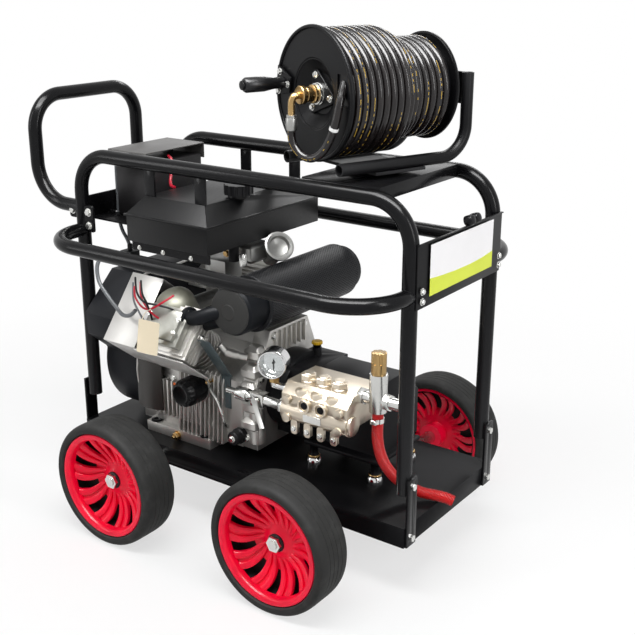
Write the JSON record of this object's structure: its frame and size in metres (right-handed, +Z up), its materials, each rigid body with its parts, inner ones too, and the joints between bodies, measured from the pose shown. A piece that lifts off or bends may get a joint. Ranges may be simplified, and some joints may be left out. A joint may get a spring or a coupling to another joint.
{
  "type": "drain jetter",
  "caption": "Engine-driven high-pressure drain jetter on a four-wheel tube-frame trolley, with a triplex pump and a swivelling hand-cranked hose reel on top",
  "frame": {"origin": "on the floor under the middle of the machine, with the free hose end left out", "axes": "+X runs along the machine from the push handle to the panel end, -Y is the pump head side, +Z is up"},
  "size_m": [1.1032, 0.756, 1.1469],
  "materials": {
    "frame_black": "satin black powder coat",
    "sign_black": "black plate with a bare face",
    "zinc": "zinc plated steel",
    "rim_red": "moulded crimson plastic",
    "tyre_rubber": "matte black rubber",
    "battery_black": "moulded battery case",
    "lid_grey": "grey painted sheet",
    "cable_red": "red cable sheath",
    "tank_black": "moulded black tank",
    "cap_black": "black moulded cap",
    "cast_aluminium": "sand cast aluminium",
    "shroud_silver": "silver painted sheet",
    "blower_black": "satin black moulded fan case",
    "carb_grey": "die cast alloy",
    "muffler_black": "heat proof black",
    "filter_black": "black enamel can",
    "shield_slate": "slate grey plate",
    "starter_black": "black enamel",
    "steel_shaft": "ground steel",
    "fan_plastic": "moulded fan",
    "gearbox_black": "black painted casting",
    "dipstick_yellow": "yellow cap",
    "manifold_nickel": "nickel plated brass forging",
    "foot_chrome": "bright plated domes",
    "gauge_steel": "polished bezel",
    "gauge_glass": "clear lens",
    "needle_black": "black pointer",
    "tee_nickel": "nickel plated fitting",
    "lever_steel": "stamped steel",
    "knob_brass": "turned brass",
    "hose_red": "red ribbed hose with a pale stripe",
    "reel_black": "satin black powder coat",
    "hose_black": "black hose with yellow dashes",
    "grip_black": "black moulded grip"
  },
  "bodies": {
    "chassis": {"base_tray": "frame_black", "frame_straps": "frame_black", "side_arch_near": "frame_black", "side_arch_far": "frame_black", "bumper_near": "frame_black", "bumper_far": "frame_black", "push_handle": "frame_black", "rear_cross_plate": "frame_black", "reel_deck": "frame_black", "front_panel": "sign_black", "frame_fasteners": "zinc", "axles": "zinc", "battery": "battery_black", "battery_lid": "lid_grey", "battery_cable": "cable_red", "fuel_tank": "tank_black", "crankcase": "cast_aluminium", "cylinders": "cast_aluminium", "rocker_covers": "cast_aluminium", "cylinder_shrouds": "shroud_silver", "blower_housing": "blower_black", "carburettor": "carb_grey", "muffler": "muffler_black", "muffler_guard": "muffler_black", "oil_filter": "filter_black", "heat_shield": "shield_slate", "starter_motor": "starter_black", "gearbox": "gearbox_black", "pump_case": "gearbox_black", "pump_manifold": "manifold_nickel", "valve_caps": "manifold_nickel", "pump_mounts": "foot_chrome", "gauge_case": "gauge_steel", "gauge_glass": "gauge_glass", "unloader_tee": "tee_nickel", "outlet_coupling": "tee_nickel", "ribbed_hose": "hose_red", "turntable": "reel_black"},
    "drivetrain": {"crankshaft": "steel_shaft", "cooling_fan": "fan_plastic"},
    "fuel_cap": {"fuel_cap": "cap_black"},
    "dipstick": {"dipstick": "dipstick_yellow"},
    "gauge_needle": {"gauge_needle": "needle_black"},
    "unloader_knob": {"unloader_knob": "knob_brass"},
    "valve_lever": {"valve_lever": "lever_steel"},
    "reel_stand": {"reel_stand": "reel_black"},
    "reel_drum": {"reel_drum": "reel_black", "hose_winding": "hose_black", "reel_fittings": "knob_brass", "hose_tail": "hose_black", "crank_bracket": "reel_black"},
    "crank_grip": {"crank_grip": "grip_black"},
    "wheel_rear_near": {"rim_rear_near": "rim_red", "tyre_rear_near": "tyre_rubber"},
    "wheel_rear_far": {"rim_rear_far": "rim_red", "tyre_rear_far": "tyre_rubber"},
    "wheel_front_near": {"rim_front_near": "rim_red", "tyre_front_near": "tyre_rubber"},
    "wheel_front_far": {"rim_front_far": "rim_red", "tyre_front_far": "tyre_rubber"}
  },
  "joints": [
    {"name": "spin_rear_near", "type": "hinge", "parent": "chassis", "child": "wheel_rear_near", "pos_m": [-0.14615, -0.331, 0.145], "axis": [0, 1, 0], "continuous": true},
    {"name": "spin_rear_far", "type": "hinge", "parent": "chassis", "child": "wheel_rear_far", "pos_m": [-0.14615, 0.331, 0.145], "axis": [0, 1, 0], "continuous": true},
    {"name": "spin_front_near", "type": "hinge", "parent": "chassis", "child": "wheel_front_near", "pos_m": [0.31885, -0.331, 0.145], "axis": [0, 1, 0], "continuous": true},
    {"name": "spin_front_far", "type": "hinge", "parent": "chassis", "child": "wheel_front_far", "pos_m": [0.31885, 0.331, 0.145], "axis": [0, 1, 0], "continuous": true},
    {"name": "crank_drive", "type": "hinge", "parent": "chassis", "child": "drivetrain", "pos_m": [0, 0, 0.325], "axis": [1, 0, 0], "continuous": true},
    {"name": "fuel_cap_turn", "type": "hinge", "parent": "chassis", "child": "fuel_cap", "pos_m": [0.006, -0.056, 0.774], "axis": [0, 0, 1], "range_deg": [0, 360]},
    {"name": "dipstick_pull", "type": "slide", "parent": "chassis", "child": "dipstick", "axis": [0, 0, 1], "range_m": [0, 0.075]},
    {"name": "needle_turn", "type": "hinge", "parent": "chassis", "child": "gauge_needle", "pos_m": [0.166, -0.14, 0.442], "axis": [-0.3746, 0.9272, 0], "range_deg": [0, 270]},
    {"name": "knob_turn", "type": "hinge", "parent": "chassis", "child": "unloader_knob", "pos_m": [0.418, -0.118, 0.466], "axis": [0, 0, 1], "range_deg": [0, 720]},
    {"name": "lever_turn", "type": "hinge", "parent": "chassis", "child": "valve_lever", "pos_m": [0.132, -0.15, 0.35], "axis": [0, 1, 0], "range_deg": [0, 90]},
    {"name": "reel_swivel", "type": "hinge", "parent": "chassis", "child": "reel_stand", "pos_m": [0.31, 0, 0.87], "axis": [0, 0, 1], "range_deg": [-90, 90]},
    {"name": "reel_spin", "type": "hinge", "parent": "reel_stand", "child": "reel_drum", "pos_m": [0.31, 0, 1.016], "axis": [0.342, 0.9397, 0], "continuous": true},
    {"name": "grip_spin", "type": "hinge", "parent": "reel_drum", "child": "crank_grip", "pos_m": [0.17024, -0.10025, 1.02964], "axis": [0.342, 0.9397, 0], "continuous": true}
  ]
}
